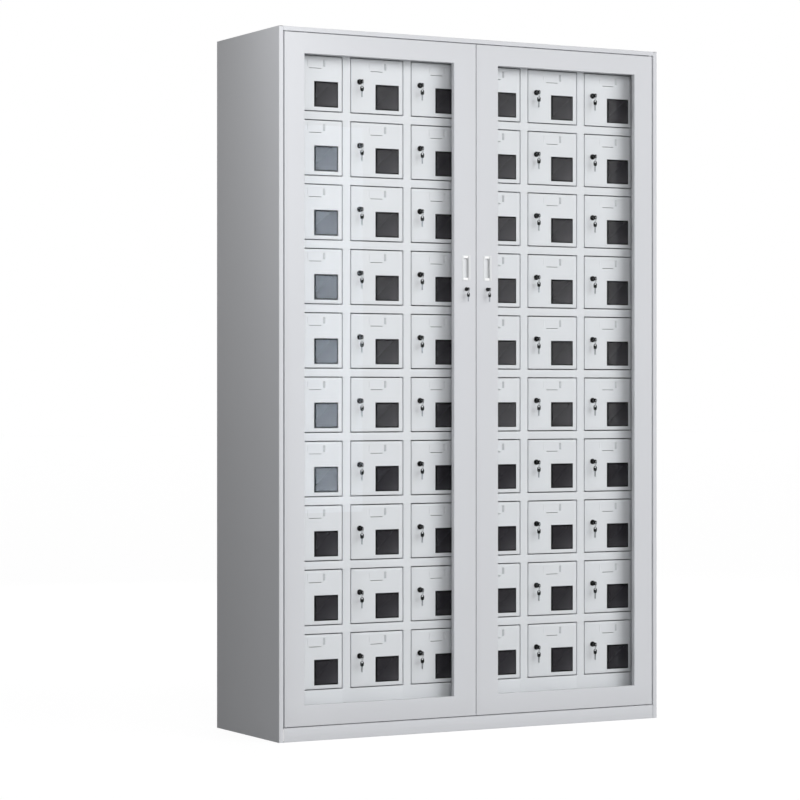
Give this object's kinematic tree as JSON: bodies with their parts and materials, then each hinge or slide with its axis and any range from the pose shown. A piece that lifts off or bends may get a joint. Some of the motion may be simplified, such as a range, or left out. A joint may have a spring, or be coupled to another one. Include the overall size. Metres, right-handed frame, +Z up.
{
  "type": "phone locker cabinet",
  "caption": "Tall steel cabinet with a grid of small phone lockers, each with a window, cam lock and keys, behind two framed glass doors.",
  "frame": {"origin": "on the floor, at the middle of the cabinet's width and of its depth with the outer keys", "axes": "+X across the front to the right hand as one faces it, +Y from the front to the back, +Z up"},
  "size_m": [1.2, 0.4126, 1.9],
  "materials": {
    "powder_coat": "fine powder coat, light grey",
    "clear_glass": "clear float glass",
    "smoked_pane": "glossy smoked acrylic",
    "black_lock": "black lock cases and key bows",
    "zinc_steel": "zinc plated",
    "pale_plastic": "moulded pale grey plastic",
    "seal_rubber": "grey glazing seal"
  },
  "bodies": {
    "cabinet": {"side_panel_left": "powder_coat", "side_panel_right": "powder_coat", "top_panel": "powder_coat", "base_panel": "powder_coat", "plinth_rails": "powder_coat", "back_panel": "powder_coat", "locker_posts": "powder_coat", "locker_rails": "powder_coat", "locker_partitions": "powder_coat", "locker_shelves": "powder_coat", "locker_hinge_pins": "zinc_steel", "door_hinge_pins": "zinc_steel", "door_hinge_washers": "zinc_steel", "lock_strike": "zinc_steel"},
    "left_door": {"left_door_frame": "powder_coat", "left_door_glass": "clear_glass", "left_door_seal": "seal_rubber", "left_door_beads": "powder_coat", "left_door_handle": "pale_plastic", "left_door_lock_case": "black_lock", "left_door_spare_key": "black_lock"},
    "left_door_lock": {"left_door_lock_plug": "black_lock", "left_door_lock_cam": "zinc_steel", "left_door_lock_key": "black_lock"},
    "right_door": {"right_door_frame": "powder_coat", "right_door_glass": "clear_glass", "right_door_seal": "seal_rubber", "right_door_beads": "powder_coat", "right_door_handle": "pale_plastic", "right_door_lock_case": "black_lock", "right_door_spare_key": "black_lock"},
    "right_door_lock": {"right_door_lock_plug": "black_lock", "right_door_lock_cam": "zinc_steel", "right_door_lock_key": "black_lock"},
    "column_1": {"column_1_doors": "powder_coat", "column_1_windows": "smoked_pane", "column_1_locks": "black_lock"},
    "column_1_lock": {"column_1_turning_lock": "black_lock"},
    "column_2": {"column_2_doors": "powder_coat", "column_2_windows": "smoked_pane", "column_2_locks": "black_lock"},
    "column_2_lock": {"column_2_turning_lock": "black_lock"},
    "column_3": {"column_3_doors": "powder_coat", "column_3_windows": "smoked_pane", "column_3_locks": "black_lock"},
    "column_3_lock": {"column_3_turning_lock": "black_lock"},
    "column_4": {"column_4_doors": "powder_coat", "column_4_windows": "smoked_pane", "column_4_locks": "black_lock"},
    "column_4_lock": {"column_4_turning_lock": "black_lock"},
    "column_5": {"column_5_doors": "powder_coat", "column_5_windows": "smoked_pane", "column_5_locks": "black_lock"},
    "column_5_lock": {"column_5_turning_lock": "black_lock"},
    "column_6": {"column_6_doors": "powder_coat", "column_6_windows": "smoked_pane", "column_6_locks": "black_lock"},
    "column_6_lock": {"column_6_turning_lock": "black_lock"}
  },
  "joints": [
    {"name": "left_door_swing", "type": "hinge", "parent": "cabinet", "child": "left_door", "pos_m": [-0.578, -0.17975, 0.95], "axis": [0, 0, -1], "range_deg": [0, 115]},
    {"name": "right_door_swing", "type": "hinge", "parent": "cabinet", "child": "right_door", "pos_m": [0.578, -0.17975, 0.95], "axis": [0, 0, 1], "range_deg": [0, 115]},
    {"name": "left_door_lock_turn", "type": "hinge", "parent": "left_door", "child": "left_door_lock", "pos_m": [-0.0277, -0.18375, 1.212], "axis": [0, -1, 0], "range_deg": [0, 90]},
    {"name": "right_door_lock_turn", "type": "hinge", "parent": "right_door", "child": "right_door_lock", "pos_m": [0.0398, -0.18375, 1.212], "axis": [0, 1, 0], "range_deg": [0, 90]},
    {"name": "column_1_swing", "type": "hinge", "parent": "cabinet", "child": "column_1", "pos_m": [-0.3936, -0.13105, 0.95], "axis": [0, 0, 1], "range_deg": [0, 69]},
    {"name": "column_2_swing", "type": "hinge", "parent": "cabinet", "child": "column_2", "pos_m": [-0.2069, -0.13105, 0.95], "axis": [0, 0, 1], "range_deg": [0, 95]},
    {"name": "column_3_swing", "type": "hinge", "parent": "cabinet", "child": "column_3", "pos_m": [-0.0202, -0.13105, 0.95], "axis": [0, 0, 1], "range_deg": [0, 95]},
    {"name": "column_4_swing", "type": "hinge", "parent": "cabinet", "child": "column_4", "pos_m": [0.1665, -0.13105, 0.95], "axis": [0, 0, 1], "range_deg": [0, 95]},
    {"name": "column_5_swing", "type": "hinge", "parent": "cabinet", "child": "column_5", "pos_m": [0.3532, -0.13105, 0.95], "axis": [0, 0, 1], "range_deg": [0, 95]},
    {"name": "column_6_swing", "type": "hinge", "parent": "cabinet", "child": "column_6", "pos_m": [0.5399, -0.13105, 0.95], "axis": [0, 0, 1], "range_deg": [0, 95]},
    {"name": "column_1_lock_turn", "type": "hinge", "parent": "column_1", "child": "column_1_lock", "pos_m": [-0.5204, -0.13505, 1.0784], "axis": [0, 1, 0], "range_deg": [0, 90]},
    {"name": "column_2_lock_turn", "type": "hinge", "parent": "column_2", "child": "column_2_lock", "pos_m": [-0.3337, -0.13505, 1.0784], "axis": [0, 1, 0], "range_deg": [0, 90]},
    {"name": "column_3_lock_turn", "type": "hinge", "parent": "column_3", "child": "column_3_lock", "pos_m": [-0.147, -0.13505, 1.0784], "axis": [0, 1, 0], "range_deg": [0, 90]},
    {"name": "column_4_lock_turn", "type": "hinge", "parent": "column_4", "child": "column_4_lock", "pos_m": [0.0397, -0.13505, 1.0784], "axis": [0, 1, 0], "range_deg": [0, 90]},
    {"name": "column_5_lock_turn", "type": "hinge", "parent": "column_5", "child": "column_5_lock", "pos_m": [0.2264, -0.13505, 1.0784], "axis": [0, 1, 0], "range_deg": [0, 90]},
    {"name": "column_6_lock_turn", "type": "hinge", "parent": "column_6", "child": "column_6_lock", "pos_m": [0.4131, -0.13505, 1.0784], "axis": [0, 1, 0], "range_deg": [0, 90]}
  ],
  "couplings": [
    {"joint": "column_1_swing", "follows": "left_door_swing", "ratio": 0.5999},
    {"joint": "column_2_swing", "follows": "left_door_swing", "ratio": 0.826},
    {"joint": "column_3_swing", "follows": "left_door_swing", "ratio": 0.826},
    {"joint": "column_4_swing", "follows": "right_door_swing", "ratio": 0.826},
    {"joint": "column_5_swing", "follows": "right_door_swing", "ratio": 0.826},
    {"joint": "column_6_swing", "follows": "right_door_swing", "ratio": 0.826}
  ]
}
